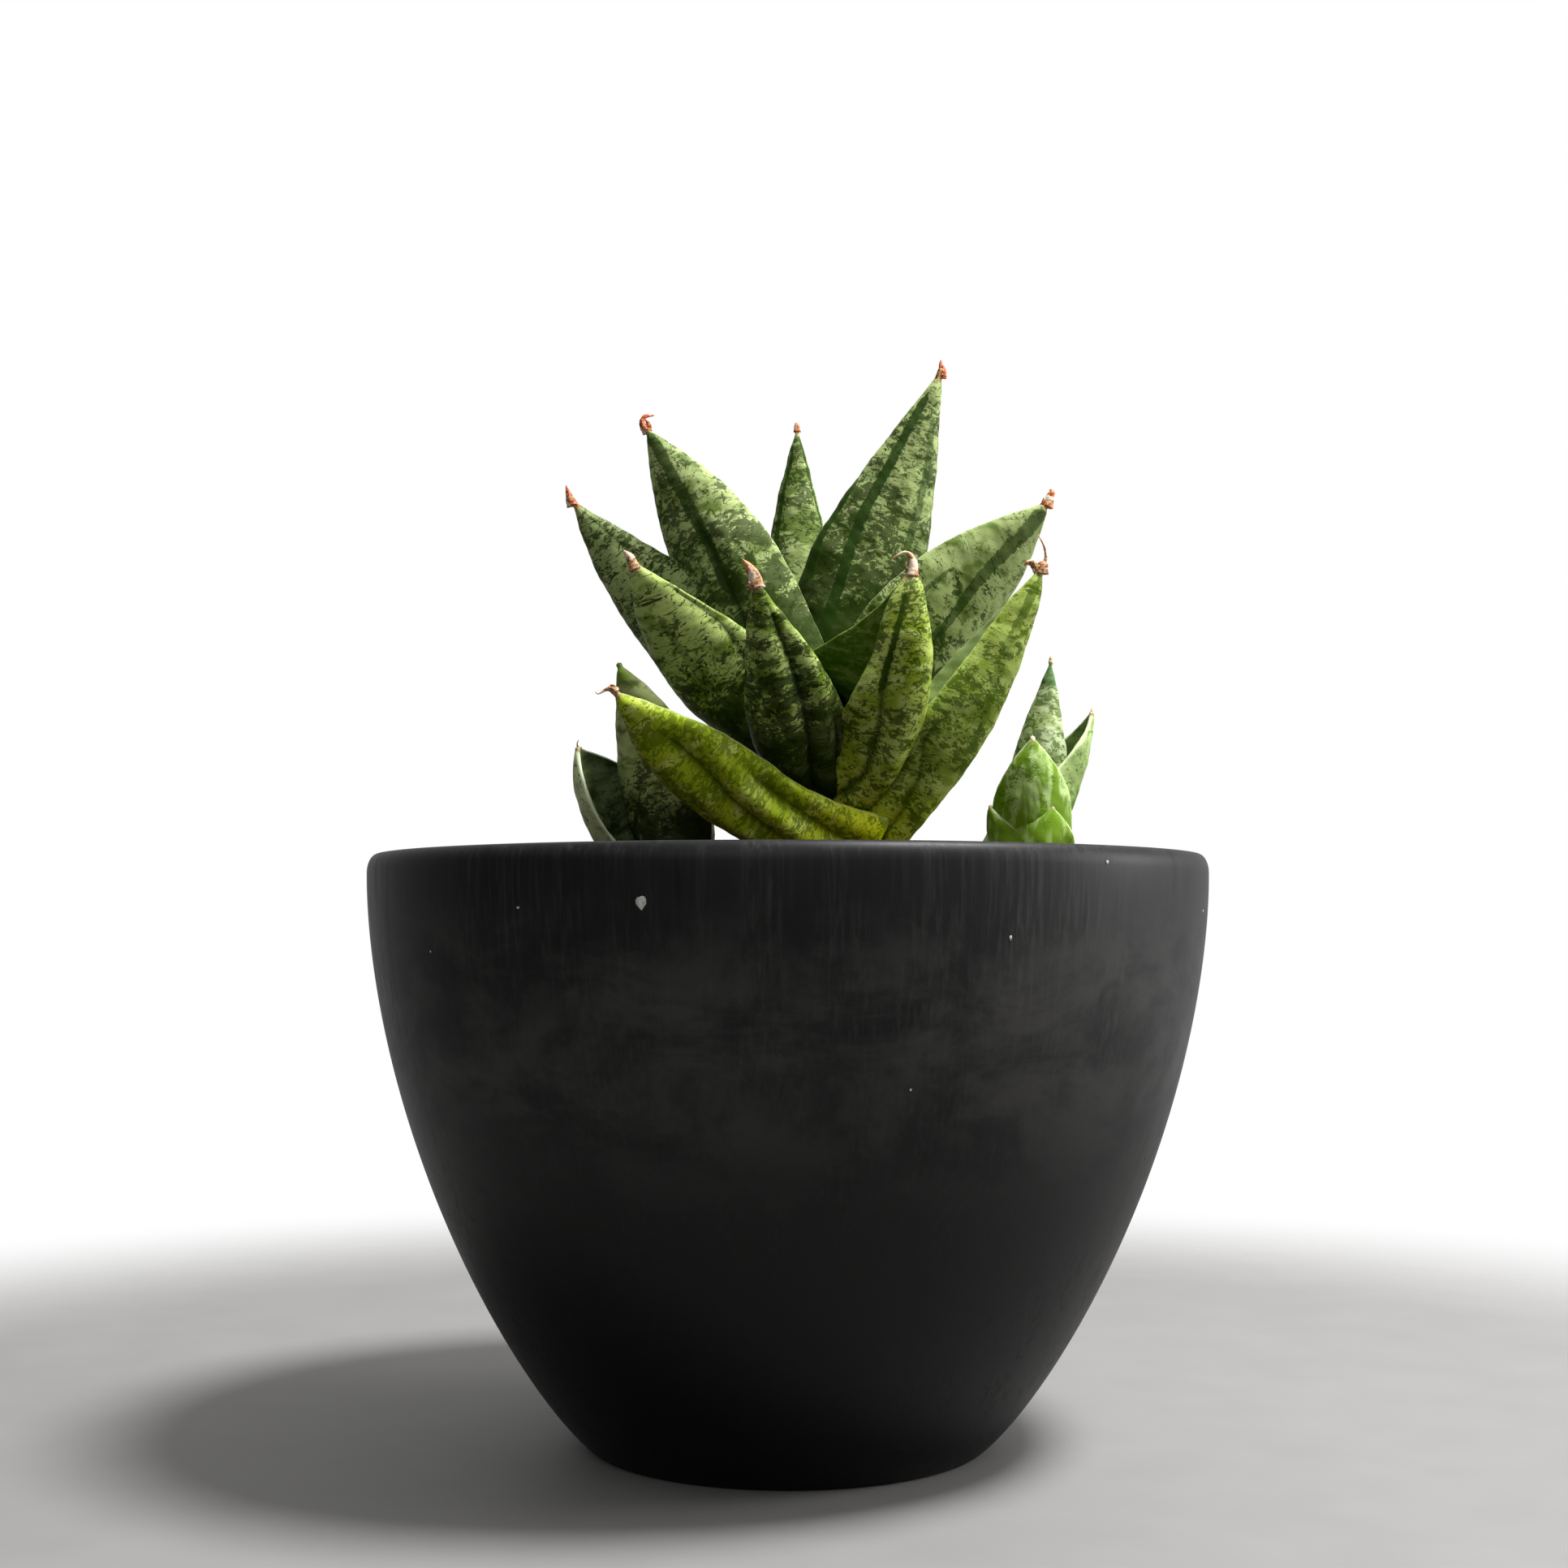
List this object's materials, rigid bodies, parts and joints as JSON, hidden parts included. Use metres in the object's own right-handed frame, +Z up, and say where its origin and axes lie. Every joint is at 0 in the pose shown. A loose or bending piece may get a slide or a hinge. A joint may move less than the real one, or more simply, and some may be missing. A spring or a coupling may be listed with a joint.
{
  "type": "potted snake plant",
  "caption": "Dwarf snake plant with young offsets: thick channelled leaves in a rosette around a short stem, growing from potting mix in a round bowl planter.",
  "frame": {"origin": "centre of the planter's flat foot, on the surface it stands on", "axes": "+Z up along the planter's axis of revolution; the front, with the long lower leaves to either side, looks along -Y; +X is to the right seen from the front"},
  "size_m": [0.2032, 0.2032, 0.2628],
  "materials": {
    "planter": "matte charcoal black with fine upright brush marks",
    "potting_mix": "loose dark peat and bark crumbs with white grit",
    "stem": "smooth pale green plant stem",
    "leaf": "waxy grey-green leaf, mottled, with dark green stripes and cross bands",
    "old_leaf": "waxy yellow-olive leaf with dark green flecks",
    "pup_leaf": "waxy dark green leaf with pale margins",
    "young_leaf": "waxy bright green leaf with pale flecks"
  },
  "bodies": {
    "root": {"planter": "planter", "potting_mix": "potting_mix", "left_pup_stem": "stem", "main_stem": "stem", "right_pup_stem": "stem", "back_leaf": "leaf", "back_left_leaf": "leaf", "back_right_leaf": "leaf", "front_left_leaf": "leaf", "front_right_leaf": "leaf", "left_leaf": "leaf", "mid_left_leaf": "leaf", "right_leaf": "leaf", "top_back_leaf": "leaf", "top_left_leaf": "leaf", "top_right_leaf": "leaf", "lower_back_leaf": "old_leaf", "lower_left_leaf": "old_leaf", "lower_right_leaf": "old_leaf", "left_pup_back_leaf": "pup_leaf", "left_pup_low_leaf": "pup_leaf", "left_pup_outer_leaf": "pup_leaf", "left_pup_tall_leaf": "pup_leaf", "heart_leaf": "young_leaf", "right_pup_front_leaf": "young_leaf", "right_pup_outer_leaf": "young_leaf", "right_pup_scale_leaf": "young_leaf", "right_pup_sheath_leaf": "young_leaf", "right_pup_tall_leaf": "young_leaf"}
  },
  "joints": []
}
